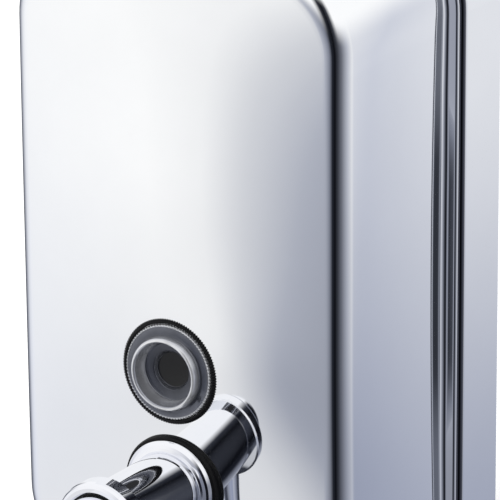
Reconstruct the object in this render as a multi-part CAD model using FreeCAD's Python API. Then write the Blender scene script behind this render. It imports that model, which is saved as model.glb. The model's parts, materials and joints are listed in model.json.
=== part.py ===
"""Wall mounted soap dispenser: a polished steel body with a filling lid, a sight glass and a push pump.

All sizes are in millimetres. +Z is up and the front faces -Y. The wall is the plane y = 0, and the
origin is the centre of the four wall screws, on the wall.
"""

import FreeCAD, Part
import math
import os

V = FreeCAD.Vector

# ---- body ----
BODY_W = 111.0            # width of the rear housing
BODY_H = 183.0            # height of the rear housing
BODY_CORNER = 27.0        # corner radius of the rear housing, seen from the front
REAR_Y = -18.5            # plane where the rear housing ends and the front cover starts
WALL_GAP = 0.4            # the housing's rear edge stands this far off the wall
SHEET = 1.0               # sheet steel thickness
HOUSING_BEND = 1.5        # outer bend of the rear housing's front edge
FLANGE = 5.1              # width of the step between the front cover and the rear housing
FLANGE_CORNER = 23.0      # corner radius at the foot of the front cover
FLANGE_EDGE = 1.3         # the cover's flange ends this far inside the housing's outline
FOOT_BEND = 3.0           # inside bend between the cover's side and its flange
PANEL_Y = -60.0           # plane of the front panel's four edges
PANEL_BEND = 6.0          # bend between the front panel and the cover's sides
PANEL_INSET = 3.73        # how far the cover's sides lean in, from the foot to the panel bend
PANEL_CORNER = 22.3       # corner radius at the panel bend
CROWN = 3.8               # how far the middle of the front panel bulges past its edges
CROWN_HALF_W = 44.0       # the bulge fades out this far from the centre line
CROWN_HALF_H = 80.0       # and this far above and below the middle
TANK_Y = -6.0             # rear face of the back plate, which closes the tank

# ---- filling lid ----
MOUTH_HALF_W = 32.0       # filling collar, outer half width
MOUTH_FRONT = -46.0       # filling collar, outer front face
MOUTH_REAR = -9.0         # filling collar, outer rear face
MOUTH_BOTTOM = 79.0
MOUTH_TOP = 95.5
GASKET_T = 1.0            # lid gasket thickness
LID_T = 1.2               # lid sheet thickness
LID_OVER = 2.6            # the lid's rim stands this far outside the collar
SKIRT_FRONT_Z = 87.0      # lower edge of the lid's rim at the front
SKIRT_REAR_Z = 92.4       # and beside the rear housing
SKIRT_BREAK_Y = -21.0     # the side rims slope up to here
HINGE_Y = -5.2
HINGE_Z = 94.9
KNUCKLE_R = 2.0
PIN_R = 1.0
RUN_FIT = 0.06            # radial clearance of pins and shafts that turn or slide
LOCK_Y = -36.4
LOCK_BODY_R = 5.0
LOCK_BOTTOM = 89.0        # lower end of the lock's housing and plug
LOCK_FLANGE_R = 7.6
LOCK_FLANGE_T = 1.5
LOCK_NUT_FLATS = 12.0
LOCK_NUT_T = 2.2
PLUG_R = 3.3
PLUG_TAIL_R = 1.9         # the plug's thin end, which carries the cam
CAM_TOP = 87.0
CAM_T = 1.2
CAM_HALF_W = 3.0
CAM_REACH = 8.2           # from the plug's axis to the cam's tip
CAM_SCREW_R = 0.9
CATCH_HALF_W = 6.0
CATCH_Z = 87.4            # underside of the catch
CATCH_REACH = 2.6
LEAF_HALF_W = 22.0        # hinge leaf on the rear housing
PIN_HALF_L = 27.0
RIVET_X = (-14.0, -4.0, 4.0, 14.0)
RIVET_R = 1.4

# ---- sight glass ----
SIGHT_Z = -21.5
SIGHT_R = 12.1            # rim of the clear window
SIGHT_GASKET_R = 13.0     # rubber ring that the window sits in

# ---- pump ----
PUMP_Z = -51.3
COLLAR_R = 12.25          # chromed trim ring at the pump's root
ROOT_RUBBER_R = 13.2      # rubber ring under the trim ring
ROOT_RUBBER_T = 2.2
BARREL_R = 9.5
BORE_R = 7.2
HEAD_R = 11.6
HEAD_FRONT = -97.0        # front rim of the pump head
HEAD_BACK = -91.2
BARREL_FRONT = -93.0      # the barrel's front end, inside the head
BUTTON_R = 8.5
BUTTON_GAP = 0.5          # dark gap between the button and the head's bore
BUTTON_FRONT = -105.5
BUTTON_REAR = -95.2       # end of the button's skirt at rest
GLAND_Y = -86.8           # front face of the rod's gland
PISTON_Y = -78.0          # rear face of the piston at rest
ROD_R = 2.5
SPOUT_Y = -94.1
SPOUT_BORE = 1.5
SHANK_R = 8.0             # threaded shank through the panel
SHANK_HOLE_R = 8.3        # and the hole it goes through
SHANK_REACH = 17.0        # the pump's shank ends this far behind the panel
NUT_FLATS = 26.0
NUT_T = 5.0
WASHER_R = 12.5
WASHER_T = 1.5
GLAND_T = 1.5
GLAND_SLOT_R = 1.2
GLAND_SLOTS_AT = 4.9      # radius of the circle that the slots lie on
PISTON_L = 5.5
PISTON_GAP = 0.3          # between the piston and the bore
GROOVE = 1.2              # depth of the piston's seal groove
SPRING_WIRE_R = 0.45
SPRING_R = 5.6            # mean radius of the coils
SPRING_TURNS = 6
SEAT_BORE = 1.5
SEAT_NECK_R = 5.0         # the seat's rear neck and the hole it passes
SEAT_REAR = 9.0           # from the panel to the seat's rear end
SEAT_STEP = 4.0           # from the panel to the shoulder that the seat rests on
VALVE_T = 1.2
VALVE_R = 4.8
ELBOW_R = 6.0
ELBOW_L = 9.0
ELBOW_PLUG_R = 4.9
ELBOW_PLUG_L = 4.0
ELBOW_LEG_R = 3.6
ELBOW_LEG_L = 14.0
ELBOW_BORE = 2.0
TUBE_R = 2.5
TUBE_BORE = 1.6
TUBE_TOP = 5.0            # the suction tube ends this far under the pump's axis
TUBE_CLEAR = 6.0          # and its lower end this far above the tank's floor

# ---- wall bracket ----
SCREW_SPACING = 40.0
SCREW_HOLE_R = 2.25
BRACKET_HALF = 30.0
BRACKET_T = 1.5
BRACKET_CORNER = 3.0
WING_HALF_H = 25.0
WING_REACH = 6.6          # how far each wing stands out past the plate
WING_FRONT = -4.2
WING_REAR = -3.0
WING_DROP = 0.05          # the wings end this far under the rails' stops
RAIL_FRONT = -2.6         # front face of the rails' lips, behind the wings
RAIL_REAR = -1.6
RAIL_T = 1.0
RAIL_LIP = 5.4            # the lips reach this far in behind the wings
RAIL_GAP = 0.4            # between a wing's edge and the rail's web
STOP_T = 2.0


def box(x0, x1, y0, y1, z0, z1):
    """A block between two opposite corners."""
    return Part.makeBox(x1 - x0, y1 - y0, z1 - z0, V(x0, y0, z0))


def rod_y(radius, y0, y1, z, x=0.0):
    """A cylinder along Y."""
    return Part.makeCylinder(radius, y1 - y0, V(x, y0, z), V(0, 1, 0))


def rod_x(radius, x0, x1, y, z):
    """A cylinder along X."""
    return Part.makeCylinder(radius, x1 - x0, V(x0, y, z), V(1, 0, 0))


def rod_z(radius, z0, z1, x, y):
    """A cylinder along Z."""
    return Part.makeCylinder(radius, z1 - z0, V(x, y, z0), V(0, 0, 1))


def turned(profile, z):
    """Turn a closed profile of (radius, y) points about the line along Y at height z."""
    points = [V(r, y, z) for r, y in profile]
    face = Part.Face(Part.makePolygon(points + [points[0]]))
    return face.revolve(V(0, 0, z), V(0, 1, 0), 360)


def hex_y(flats, y0, y1, z):
    """A hexagonal prism along Y, with flats at its top and bottom."""
    corner = flats / math.sqrt(3)
    points = []
    for i in range(6):
        angle = math.radians(60 * i)
        points.append(V(corner * math.cos(angle), y0, z + corner * math.sin(angle)))
    return Part.Face(Part.makePolygon(points + [points[0]])).extrude(V(0, y1 - y0, 0))


def hex_z(flats, z0, z1, x, y):
    """A hexagonal prism along Z."""
    corner = flats / math.sqrt(3)
    points = []
    for i in range(6):
        angle = math.radians(60 * i)
        points.append(V(x + corner * math.cos(angle), y + corner * math.sin(angle), z0))
    return Part.Face(Part.makePolygon(points + [points[0]])).extrude(V(0, 0, z1 - z0))


def outline(half_w, half_h, corner, y):
    """A closed rectangle with rounded corners, upright in the plane at y."""
    k = corner * (1 - math.sqrt(0.5))
    edges = []
    for sx, sz in ((1, 1), (-1, 1), (-1, -1), (1, -1)):
        side = V(sx * half_w, y, sz * (half_h - corner))
        middle = V(sx * (half_w - k), y, sz * (half_h - k))
        top = V(sx * (half_w - corner), y, sz * half_h)
        ends = (side, top) if sx * sz > 0 else (top, side)
        edges.append((ends[0], middle, ends[1]))
    wire = []
    for i, (start, middle, end) in enumerate(edges):
        wire.append(Part.Arc(start, middle, end).toShape())
        wire.append(Part.makeLine(end, edges[(i + 1) % 4][0]))
    return Part.Wire(wire)


def rounded_slab(half_w, half_h, corner, y0, y1):
    """A flat slab with rounded corners, between two planes."""
    return Part.Face(outline(half_w, half_h, corner, y0)).extrude(V(0, y1 - y0, 0))


def crowned_front(offset):
    """A thick block whose front is the bulged panel surface, moved back by offset."""
    reach_x = 60.0
    reach_z = 96.0
    ax = (reach_x / CROWN_HALF_W) ** 2
    az = (reach_z / CROWN_HALF_H) ** 2
    across = (1 - ax, 1 + ax, 1 - ax)
    upward = (1 - az, 1 + az, 1 - az)
    surface = Part.BezierSurface()
    surface.increase(2, 2)
    for i in range(3):
        for j in range(3):
            y = PANEL_Y + offset - CROWN * across[i] * upward[j]
            surface.setPole(i + 1, j + 1, V((i - 1) * reach_x, y, (j - 1) * reach_z))
    surface = surface.toBSpline()
    spans = 12
    for i in range(1, spans):
        surface.insertUKnot(i / spans, 1, 0.0)
        surface.insertVKnot(i / spans, 1, 0.0)
    return surface.toShape().extrude(V(0, 90, 0))


def crown_y(x, z):
    """The front panel's outer surface at a point."""
    return PANEL_Y - CROWN * (1 - (x / CROWN_HALF_W) ** 2) * (1 - (z / CROWN_HALF_H) ** 2)


def cover_block(inset):
    """The front cover as a filled block, shrunk by inset on every side."""
    bend_y = PANEL_Y + PANEL_BEND
    lean = PANEL_INSET / (REAR_Y - bend_y)
    turn = (FLANGE_CORNER - PANEL_CORNER) / (REAR_Y - bend_y)
    wires = []
    for y in (PANEL_Y - 2 * CROWN, REAR_Y):
        back = REAR_Y - y
        shrink = FLANGE + lean * back + inset
        corner = FLANGE_CORNER - turn * back - inset
        wires.append(outline(BODY_W / 2 - shrink, BODY_H / 2 - shrink, corner, y))
    block = Part.makeLoft(wires, True, True).common(crowned_front(inset))
    front = [e for e in block.Edges if e.BoundBox.YMax < PANEL_Y + inset + 1.5]
    return block.makeFillet(PANEL_BEND - inset, front)


def lid_cut():
    """The opening that the filling collar stands in."""
    return box(-MOUTH_HALF_W, MOUTH_HALF_W, MOUTH_FRONT, MOUTH_REAR, MOUTH_BOTTOM - 1, BODY_H)


def front_cover():
    """Drawn front: crowned panel, leaning sides and a narrow flange, with holes for glass and pump."""
    block = cover_block(0)
    edge = FLANGE_EDGE
    flange = rounded_slab(BODY_W / 2 - edge, BODY_H / 2 - edge, BODY_CORNER - edge, REAR_Y - SHEET, REAR_Y)
    filled = block.fuse(flange).removeSplitter()
    foot = []
    for e in filled.Edges:
        flat = e.BoundBox.YLength < 0.01 and abs(e.BoundBox.YMin - (REAR_Y - SHEET)) < 0.01
        inside = max(abs(e.BoundBox.XMax), abs(e.BoundBox.XMin)) < BODY_W / 2 - FLANGE + 1
        low = max(abs(e.BoundBox.ZMax), abs(e.BoundBox.ZMin)) < BODY_H / 2 - FLANGE + 1
        if flat and inside and low:
            foot.append(e)
    filled = filled.makeFillet(FOOT_BEND, foot)
    shell = filled.cut(cover_block(SHEET)).cut(lid_cut())
    shell = shell.cut(rod_y(SHANK_HOLE_R, -70, -50, SIGHT_Z))
    return shell.cut(rod_y(SHANK_HOLE_R, -70, -50, PUMP_Z))


def rear_housing():
    """Box shaped rim behind the front cover, open at the back, with a bent front edge."""
    outer = rounded_slab(BODY_W / 2, BODY_H / 2, BODY_CORNER, REAR_Y, -WALL_GAP)
    front = [e for e in outer.Edges if e.BoundBox.YMax < REAR_Y + 0.01]
    outer = outer.makeFillet(HOUSING_BEND, front)
    t = SHEET
    inner = rounded_slab(BODY_W / 2 - t, BODY_H / 2 - t, BODY_CORNER - t, REAR_Y + t, 1)
    lip = FLANGE + SHEET
    window = rounded_slab(BODY_W / 2 - lip, BODY_H / 2 - lip, FLANGE_CORNER - t, REAR_Y - 1, REAR_Y + 2)
    return outer.cut(inner).cut(window).cut(lid_cut())


def back_plate():
    """Rear wall of the tank, set in from the wall so that the bracket fits behind it."""
    t = SHEET
    return rounded_slab(BODY_W / 2 - t, BODY_H / 2 - t, BODY_CORNER - t, TANK_Y - t, TANK_Y)


def hanger_rails():
    """Two welded rails that slide down behind the bracket's wings and hang on them."""
    solids = []
    low = -WING_HALF_H + 1
    high = WING_HALF_H + STOP_T
    for side in (-1, 1):
        tip = BRACKET_HALF + WING_REACH
        outside = tip + RAIL_GAP + RAIL_T
        inside = tip - RAIL_LIP
        lip = box(inside, outside, RAIL_FRONT, RAIL_REAR, low, high)
        web = box(outside - RAIL_T, outside, TANK_Y, RAIL_REAR, low, high)
        stop = box(inside, outside, TANK_Y, RAIL_REAR, WING_HALF_H, high)
        rail = lip.fuse(web).fuse(stop).removeSplitter()
        if side < 0:
            rail = rail.mirror(V(0, 0, 0), V(1, 0, 0))
        solids.append(rail)
    return Part.makeCompound(solids)


def wall_bracket():
    """Screwed plate with two joggled wings."""
    half = BRACKET_HALF
    plate = box(-half, half, -BRACKET_T, 0, -half, half)
    corners = [e for e in plate.Edges if e.BoundBox.YLength > 1 and e.BoundBox.ZLength < 0.1]
    plate = plate.makeFillet(BRACKET_CORNER, corners)
    low = -WING_HALF_H
    high = WING_HALF_H - WING_DROP
    for side in (-1, 1):
        step = box(half - BRACKET_T, half, WING_FRONT, -0.2, low, high)
        wing = box(half - BRACKET_T, half + WING_REACH, WING_FRONT, WING_REAR, low, high)
        part = step.fuse(wing)
        if side < 0:
            part = part.mirror(V(0, 0, 0), V(1, 0, 0))
        plate = plate.fuse(part)
    for sx in (-1, 1):
        for sz in (-1, 1):
            at = SCREW_SPACING / 2
            plate = plate.cut(rod_y(SCREW_HOLE_R, -3, 1, sz * at, sx * at))
    return plate.removeSplitter()


def filler_collar():
    """Upright rectangular mouth that the tank is filled through."""
    w = MOUTH_HALF_W
    t = SHEET
    outer = box(-w, w, MOUTH_FRONT, MOUTH_REAR, MOUTH_BOTTOM, MOUTH_TOP)
    outer = outer.makeFillet(0.9, [e for e in outer.Edges if e.BoundBox.ZLength > 5])
    inner = box(-w + t, w - t, MOUTH_FRONT + t, MOUTH_REAR - t, MOUTH_BOTTOM - 1, MOUTH_TOP + 1)
    return outer.cut(inner)


def lock_catch():
    """Small ledge inside the collar that the lock's cam turns under."""
    inner = MOUTH_FRONT + SHEET
    tab = box(-CATCH_HALF_W, CATCH_HALF_W, inner, inner + CATCH_REACH, CATCH_Z, CATCH_Z + 1.0)
    foot = box(-CATCH_HALF_W, CATCH_HALF_W, inner, inner + 0.8, CATCH_Z, CATCH_Z + 4.6)
    return tab.fuse(foot).removeSplitter()


LID_Z = MOUTH_TOP + GASKET_T          # underside of the lid's plate
LID_FRONT = MOUTH_FRONT - LID_OVER
LID_HALF_W = MOUTH_HALF_W + LID_OVER
FIXED_KNUCKLES = ((-20.0, -8.0), (8.0, 20.0))
LID_KNUCKLES = ((-27.0, -20.3), (-7.7, 7.7), (20.3, 27.0))


def lid_rim_cut():
    """Space under the lid's side rims, which slope up towards the rear."""
    points = [
        (LID_FRONT - 5, SKIRT_FRONT_Z - 1), (LID_FRONT, SKIRT_FRONT_Z), (SKIRT_BREAK_Y, SKIRT_REAR_Z),
        (5, SKIRT_REAR_Z), (5, SKIRT_FRONT_Z - 1),
    ]
    corners = [V(-LID_HALF_W - 1, y, z) for y, z in points]
    return Part.Face(Part.makePolygon(corners + [corners[0]])).extrude(V(2 * LID_HALF_W + 2, 0, 0))


def lid():
    """Hinged lid with a turned down rim on three sides and rolled knuckles at the back."""
    w = LID_HALF_W
    rear = MOUTH_REAR + 1.0
    outer = box(-w, w, LID_FRONT, rear, SKIRT_FRONT_Z, LID_Z + LID_T)
    corners = [e for e in outer.Edges if e.BoundBox.ZLength > 3 and e.BoundBox.YMax < LID_FRONT + 1]
    outer = outer.makeFillet(4, corners)
    top = [e for e in outer.Edges if e.BoundBox.ZMin > LID_Z + LID_T - 0.01 and e.BoundBox.YMin < rear - 1]
    outer = outer.makeFillet(1.0, top)
    hollow = box(-w + LID_T, w - LID_T, LID_FRONT + LID_T, rear + 1, SKIRT_FRONT_Z - 1, LID_Z)
    inner_corners = [e for e in hollow.Edges if e.BoundBox.ZLength > 3 and e.BoundBox.YMax < LID_FRONT + 2]
    hollow = hollow.makeFillet(2.8, inner_corners)
    shell = outer.cut(hollow).cut(lid_rim_cut())
    for x0, x1 in LID_KNUCKLES:
        strap = box(x0, x1, rear - 1, HINGE_Y, LID_Z, LID_Z + LID_T)
        knuckle = rod_x(KNUCKLE_R, x0, x1, HINGE_Y, HINGE_Z)
        riser = box(x0, x1, HINGE_Y - KNUCKLE_R, HINGE_Y, HINGE_Z, LID_Z + LID_T)
        shell = shell.fuse(strap).fuse(knuckle).fuse(riser)
    shell = shell.cut(rod_x(PIN_R, -30, 30, HINGE_Y, HINGE_Z))
    return shell.cut(rod_z(LOCK_BODY_R, LID_Z - 1, LID_Z + 5, 0, LOCK_Y)).removeSplitter()


def lid_gasket():
    """Flat rubber frame under the lid."""
    w = MOUTH_HALF_W
    outer = box(-w - 0.8, w + 0.8, MOUTH_FRONT - 0.8, MOUTH_REAR + 0.6, MOUTH_TOP, LID_Z)
    outer = outer.makeFillet(2.0, [e for e in outer.Edges if e.BoundBox.ZLength > GASKET_T / 2])
    inner = box(-w + 3.0, w - 3.0, MOUTH_FRONT + 2.6, MOUTH_REAR - 3.0, MOUTH_TOP - 1, LID_Z + 1)
    return outer.cut(inner)


def hinge_leaf():
    """Hinge half on the rear housing: a strip with two upright knuckles."""
    top = BODY_H / 2
    leaf = box(-LEAF_HALF_W, LEAF_HALF_W, -8.6, -1.6, top, top + SHEET)
    for x0, x1 in FIXED_KNUCKLES:
        web = box(x0, x1, HINGE_Y - 0.8, HINGE_Y + 0.8, top + 0.5, HINGE_Z)
        leaf = leaf.fuse(web).fuse(rod_x(KNUCKLE_R, x0, x1, HINGE_Y, HINGE_Z))
    return leaf.cut(rod_x(PIN_R + RUN_FIT, -30, 30, HINGE_Y, HINGE_Z)).removeSplitter()


def hinge_rivets():
    """Four small dome rivets that hold the hinge leaf to the housing."""
    top = BODY_H / 2
    rivets = []
    for x in RIVET_X:
        ball = Part.makeSphere(RIVET_R, V(x, -3.0, top + 0.6))
        dome = ball.common(box(x - 2, x + 2, -5, -1, top + SHEET, top + 3))
        rivets.append(dome)
    return Part.makeCompound(rivets)


def hinge_pin():
    """Straight pin through all five knuckles."""
    return rod_x(PIN_R, -PIN_HALF_L, PIN_HALF_L, HINGE_Y, HINGE_Z)


def lock_body():
    """Cam lock housing with a round flange on top of the lid."""
    top = LID_Z + LID_T
    body = rod_z(LOCK_BODY_R, LOCK_BOTTOM, top + 0.1, 0, LOCK_Y)
    flange = rod_z(LOCK_FLANGE_R, top, top + LOCK_FLANGE_T, 0, LOCK_Y)
    flange = flange.makeFillet(0.9, [e for e in flange.Edges if e.BoundBox.ZMin > top + 1.4])
    return body.fuse(flange).removeSplitter().cut(rod_z(PLUG_R + RUN_FIT, 80, top + 3, 0, LOCK_Y))


def lock_nut():
    """Thin hexagon nut that clamps the lock under the lid."""
    nut = hex_z(LOCK_NUT_FLATS, LID_Z - LOCK_NUT_T, LID_Z, 0, LOCK_Y)
    return nut.cut(rod_z(LOCK_BODY_R, LID_Z - 4, LID_Z + 1, 0, LOCK_Y))


def lock_plug():
    """Turning core of the lock, with a key slot."""
    top = LID_Z + LID_T + 1.3
    plug = rod_z(PLUG_R, LOCK_BOTTOM, top, 0, LOCK_Y)
    plug = plug.fuse(rod_z(PLUG_TAIL_R, CAM_TOP, LOCK_BOTTOM + 0.5, 0, LOCK_Y))
    slot = box(-2.0, 2.0, LOCK_Y - 0.4, LOCK_Y + 0.4, top - 4.0, top + 1)
    thread = rod_z(CAM_SCREW_R, CAM_TOP - 2, LOCK_BOTTOM, 0, LOCK_Y)
    return plug.cut(slot).cut(thread).removeSplitter()


def lock_cam():
    """Flat tongue under the plug. It points sideways when unlocked and to the front when locked."""
    y0 = LOCK_Y - CAM_HALF_W
    y1 = LOCK_Y + CAM_HALF_W
    tongue = box(-CAM_HALF_W, CAM_REACH, y0, y1, CAM_TOP - CAM_T, CAM_TOP)
    ends = [e for e in tongue.Edges if e.BoundBox.ZLength > 1]
    return tongue.makeFillet(2.0, ends).cut(rod_z(CAM_SCREW_R, 80, 90, 0, LOCK_Y))


def cam_screw():
    """Screw that holds the cam to the plug."""
    seat = CAM_TOP - CAM_T
    head = rod_z(PLUG_TAIL_R, seat - 1.2, seat, 0, LOCK_Y)
    head = head.makeFillet(0.5, [e for e in head.Edges if e.BoundBox.ZMax < seat - 1.1])
    return head.fuse(rod_z(CAM_SCREW_R, seat, seat + 2.8, 0, LOCK_Y)).removeSplitter()


SIGHT_Y = crown_y(0, SIGHT_Z)         # panel surface behind the sight glass
PUMP_Y = crown_y(0, PUMP_Z)           # panel surface behind the pump collar


def behind_panel(y, thickness):
    """Front and rear planes of a washer that lies against the inside of the panel."""
    front = y + SHEET + 0.05
    return front, front + thickness


def sight_lens():
    """Clear window: a thin rimmed disc with a tall raised ring, a dished middle and a hollow shank."""
    y = SIGHT_Y
    profile = [
        (0, y + 1.6), (4.6, y + 1.6), (4.95, y + 0.4), (7.3, y + 0.2), (7.6, y - 1.0), (8.0, y - 3.4),
        (8.35, y - 3.9), (8.75, y - 3.9), (9.2, y - 3.4), (9.6, y - 1.4), (11.6, y - 1.2),
        (SIGHT_R - 0.1, y - 1.0), (SIGHT_R, y - 0.8), (SIGHT_R, y - 0.5), (SHANK_R, y - 0.5),
        (SHANK_R, y + 11.0), (5.4, y + 11.0), (5.4, y + 3.0), (0, y + 3.0),
    ]
    return turned(profile, SIGHT_Z)


def sight_gasket():
    """Stepped rubber ring that the window's rim sits in, against the panel."""
    y = SIGHT_Y
    r = SIGHT_GASKET_R
    profile = [
        (SHANK_R, y + 1.5), (r - 0.2, y + 1.5), (r, y - 0.3), (r, y - 0.7), (r - 0.2, y - 0.9),
        (SIGHT_R, y - 0.9), (SIGHT_R, y - 0.5), (SHANK_R, y - 0.5),
    ]
    return turned(profile, SIGHT_Z).cut(crowned_front(0))


def inner_washer(y, z):
    """Rubber washer between the panel's inner face and a nut."""
    front, rear = behind_panel(y, WASHER_T)
    ring = rod_y(WASHER_R, front - 0.6, rear, z).cut(rod_y(SHANK_R, y - 5, y + 9, z))
    return ring.common(crowned_front(SHEET))


def shank_nut(y, z):
    """Plastic hexagon nut on a threaded shank, inside the tank."""
    rear = behind_panel(y, WASHER_T)[1]
    nut = hex_y(NUT_FLATS, rear, rear + NUT_T, z)
    return nut.cut(rod_y(SHANK_R, rear - 1, rear + 7, z))


def pump_collar():
    """Rounded trim ring at the pump's root, in front of its rubber ring."""
    y = PUMP_Y - ROOT_RUBBER_T
    r = COLLAR_R
    profile = [
        (BARREL_R, y), (r - 0.1, y), (r, y - 0.2), (r - 0.1, y - 0.6), (r - 0.45, y - 1.05), (r - 1.0, y - 1.4),
        (r - 1.7, y - 1.65), (BARREL_R + 0.4, y - 1.75), (BARREL_R, y - 1.6),
    ]
    return turned(profile, PUMP_Z)


def pump_gasket():
    """Thick rubber ring between the trim ring and the panel."""
    y = PUMP_Y
    t = ROOT_RUBBER_T
    r = ROOT_RUBBER_R
    profile = [
        (BARREL_R, y + 1.5), (r - 0.4, y + 1.5), (r - 0.3, y - 0.6), (r, y - t + 0.7), (r - 0.3, y - t + 0.1),
        (r - 0.5, y - t), (BARREL_R, y - t),
    ]
    return turned(profile, PUMP_Z).cut(crowned_front(0))


def pump_barrel():
    """Pump cylinder in front of the panel, with a threaded shank behind it."""
    y = PUMP_Y
    barrel = rod_y(BARREL_R, BARREL_FRONT, y + 1.0, PUMP_Z).cut(crowned_front(-0.1))
    shank = rod_y(SHANK_R, y - 1.0, y + SHANK_REACH, PUMP_Z)
    solid = barrel.fuse(shank).removeSplitter()
    guide = rod_y(BUTTON_R + 0.3, BARREL_FRONT - 1, GLAND_Y, PUMP_Z)
    bore = rod_y(BORE_R, GLAND_Y - 1, y + SEAT_STEP, PUMP_Z)
    inlet = rod_y(SEAT_NECK_R, y, y + 20, PUMP_Z)
    return solid.cut(guide).cut(bore).cut(inlet)


def pump_head():
    """Front ring that guides the push button and feeds the spout."""
    f = HEAD_FRONT
    b = HEAD_BACK
    bore = BUTTON_R + BUTTON_GAP
    profile = [
        (HEAD_R - 0.5, b), (HEAD_R, b - 0.5), (HEAD_R, f + 1.6), (HEAD_R - 0.2, f + 0.9), (HEAD_R - 0.6, f + 0.3),
        (HEAD_R - 1.3, f), (bore + 0.4, f), (bore, f + 0.4), (bore, BARREL_FRONT), (BARREL_R, BARREL_FRONT),
        (BARREL_R, b),
    ]
    return turned(profile, PUMP_Z).cut(rod_z(SPOUT_BORE, PUMP_Z - 15, PUMP_Z, 0, SPOUT_Y))


def spout():
    """Short tapered nozzle under the pump head."""
    z = PUMP_Z
    cone = Part.makeCone(2.1, 2.8, 12.0, V(0, SPOUT_Y, z - 20.5), V(0, 0, 1))
    body = cone.cut(rod_y(HEAD_R, HEAD_FRONT - 5, HEAD_BACK + 5, z))
    return body.cut(rod_z(SPOUT_BORE, z - 25, z, 0, SPOUT_Y)).removeSplitter()


def button_seal():
    """Thin rubber ring in the head's bore that wipes the button."""
    inner = BUTTON_R + RUN_FIT
    front = HEAD_FRONT + 0.5
    ring = rod_y(BUTTON_R + BUTTON_GAP, front, front + 0.8, PUMP_Z)
    return ring.cut(rod_y(inner, front - 1, front + 2, PUMP_Z))


def rod_gland():
    """Bush that the piston rod slides through, with three slots that the soap passes."""
    bush = rod_y(BORE_R, GLAND_Y, GLAND_Y + GLAND_T, PUMP_Z)
    bush = bush.cut(rod_y(ROD_R + RUN_FIT, GLAND_Y - 1, GLAND_Y + 3, PUMP_Z))
    for i in range(3):
        angle = math.radians(90 + 120 * i)
        x = GLAND_SLOTS_AT * math.cos(angle)
        z = PUMP_Z + GLAND_SLOTS_AT * math.sin(angle)
        bush = bush.cut(rod_y(GLAND_SLOT_R, GLAND_Y - 1, GLAND_Y + 3, z, x))
    return bush


def push_button():
    """Domed cap on the piston rod, with a long skirt."""
    f = BUTTON_FRONT
    r = BUTTON_R
    back = BUTTON_REAR
    profile = [
        (0, f), (r - 3.4, f + 0.15), (r - 1.7, f + 0.55), (r - 0.7, f + 1.2), (r - 0.15, f + 2.2), (r, f + 3.2),
        (r, back), (r - 1.4, back), (r - 1.4, f + 4.0), (ROD_R + 1.4, f + 4.0), (ROD_R + 1.4, f + 6.5),
        (0, f + 6.5),
    ]
    return turned(profile, PUMP_Z).cut(rod_y(ROD_R, f + 3.0, f + 20, PUMP_Z))


def piston_rod():
    """Plain rod from the button to the piston."""
    return rod_y(ROD_R, BUTTON_FRONT + 3.0, PISTON_Y - 1.0, PUMP_Z)


def piston():
    """Piston with a groove for its seal."""
    front = PISTON_Y - PISTON_L
    r = BORE_R - PISTON_GAP
    floor = r - GROOVE
    profile = [
        (0, PISTON_Y), (r, PISTON_Y), (r, PISTON_Y - 2.0), (floor, PISTON_Y - 2.0), (floor, PISTON_Y - 4.0),
        (r, PISTON_Y - 4.0), (r, front), (0, front),
    ]
    return turned(profile, PUMP_Z).cut(rod_y(ROD_R, front - 1, PISTON_Y - 1.0, PUMP_Z))


def piston_seal():
    """Rubber ring in the piston's groove."""
    inner = BORE_R - PISTON_GAP - GROOVE
    outer = BORE_R - RUN_FIT
    y0 = PISTON_Y - 3.9
    y1 = PISTON_Y - 2.1
    profile = [
        (inner, y0), (outer - 0.4, y0), (outer, y0 + 0.4), (outer, y1 - 0.4), (outer - 0.4, y1), (inner, y1),
    ]
    return turned(profile, PUMP_Z)


def return_spring():
    """Coil spring between the piston and the inlet seat."""
    wire = SPRING_WIRE_R
    radius = SPRING_R
    steps = 12 * SPRING_TURNS
    start = PISTON_Y + wire
    length = PUMP_Y + 1.0 - wire - start
    points = []
    for i in range(steps + 1):
        angle = 2 * math.pi * SPRING_TURNS * i / steps
        points.append(V(radius * math.cos(angle), start + length * i / steps, PUMP_Z + radius * math.sin(angle)))
    line = Part.BSplineCurve()
    line.interpolate(points)
    along = V(0, length / SPRING_TURNS / (2 * math.pi), radius)
    profile = Part.Wire(Part.makeCircle(wire, points[0], along))
    return Part.Wire([line.toShape()]).makePipeShell([profile], True, True)


def inlet_seat():
    """Plug in the rear of the bore that the spring rests on and that holds the inlet valve."""
    y = PUMP_Y
    step = y + SEAT_STEP
    rear = y + SEAT_REAR
    profile = [
        (SEAT_BORE, y + 1.0), (BORE_R, y + 1.0), (BORE_R, step), (SEAT_NECK_R, step), (SEAT_NECK_R, rear),
        (SEAT_BORE, rear),
    ]
    return turned(profile, PUMP_Z)


def inlet_valve():
    """Small rubber ring behind the inlet seat."""
    y = PUMP_Y + SEAT_REAR
    rear = y + VALVE_T
    return turned([(SEAT_BORE, y), (VALVE_R, y), (VALVE_R, rear), (SEAT_BORE, rear)], PUMP_Z)


def inlet_elbow():
    """Plastic elbow on the rear end of the pump, turning down to the suction tube."""
    y = PUMP_Y + SHANK_REACH
    middle = y + ELBOW_L / 2
    plug = rod_y(ELBOW_PLUG_R, y - ELBOW_PLUG_L, y, PUMP_Z)
    block = rod_y(ELBOW_R, y, y + ELBOW_L, PUMP_Z)
    leg = rod_z(ELBOW_LEG_R, PUMP_Z - ELBOW_LEG_L, PUMP_Z, 0, middle)
    solid = plug.fuse(block).fuse(leg)
    solid = solid.cut(rod_y(ELBOW_BORE, y - 6, middle, PUMP_Z))
    return solid.cut(rod_z(TUBE_R, PUMP_Z - 16, PUMP_Z + 3.0, 0, middle)).removeSplitter()


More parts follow.
